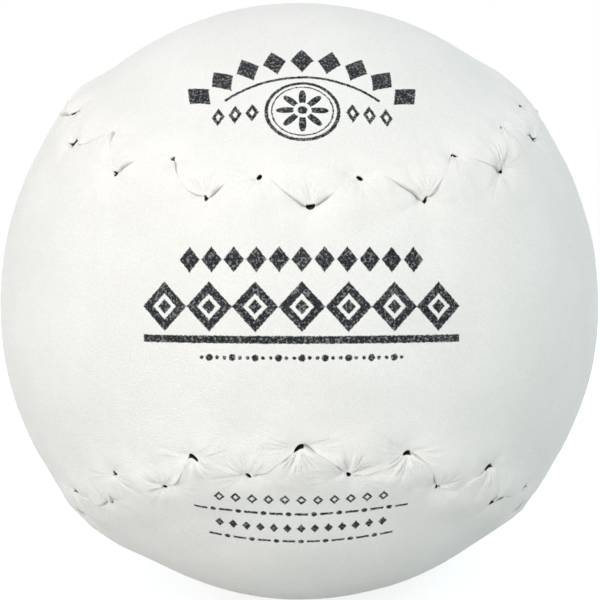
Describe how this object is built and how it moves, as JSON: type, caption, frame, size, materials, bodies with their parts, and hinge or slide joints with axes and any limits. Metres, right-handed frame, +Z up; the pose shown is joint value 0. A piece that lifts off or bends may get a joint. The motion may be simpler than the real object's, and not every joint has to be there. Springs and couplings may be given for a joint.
{
  "type": "softball",
  "caption": "Large round bat-and-ball game ball: white leather figure-eight panels, joined by a hidden-stitch zigzag seam, over a wound kapok core.",
  "frame": {"origin": "centre of the ball", "axes": "+Z up, -Y out through the middle of the front panel's waist, +X to the right as one faces that waist"},
  "size_m": [0.1292, 0.1294, 0.1292],
  "materials": {
    "kapok": "matte",
    "yarn": "matte",
    "elastic": "matte",
    "latex": "satin",
    "leather": "satin",
    "thread": "matte"
  },
  "bodies": {
    "root": {"kapok_core": "kapok", "yarn_winding": "yarn", "elastic_winding": "elastic", "latex_coat": "latex", "front_cover_panel": "leather", "back_cover_panel": "leather", "seam_thread": "thread"}
  },
  "joints": []
}
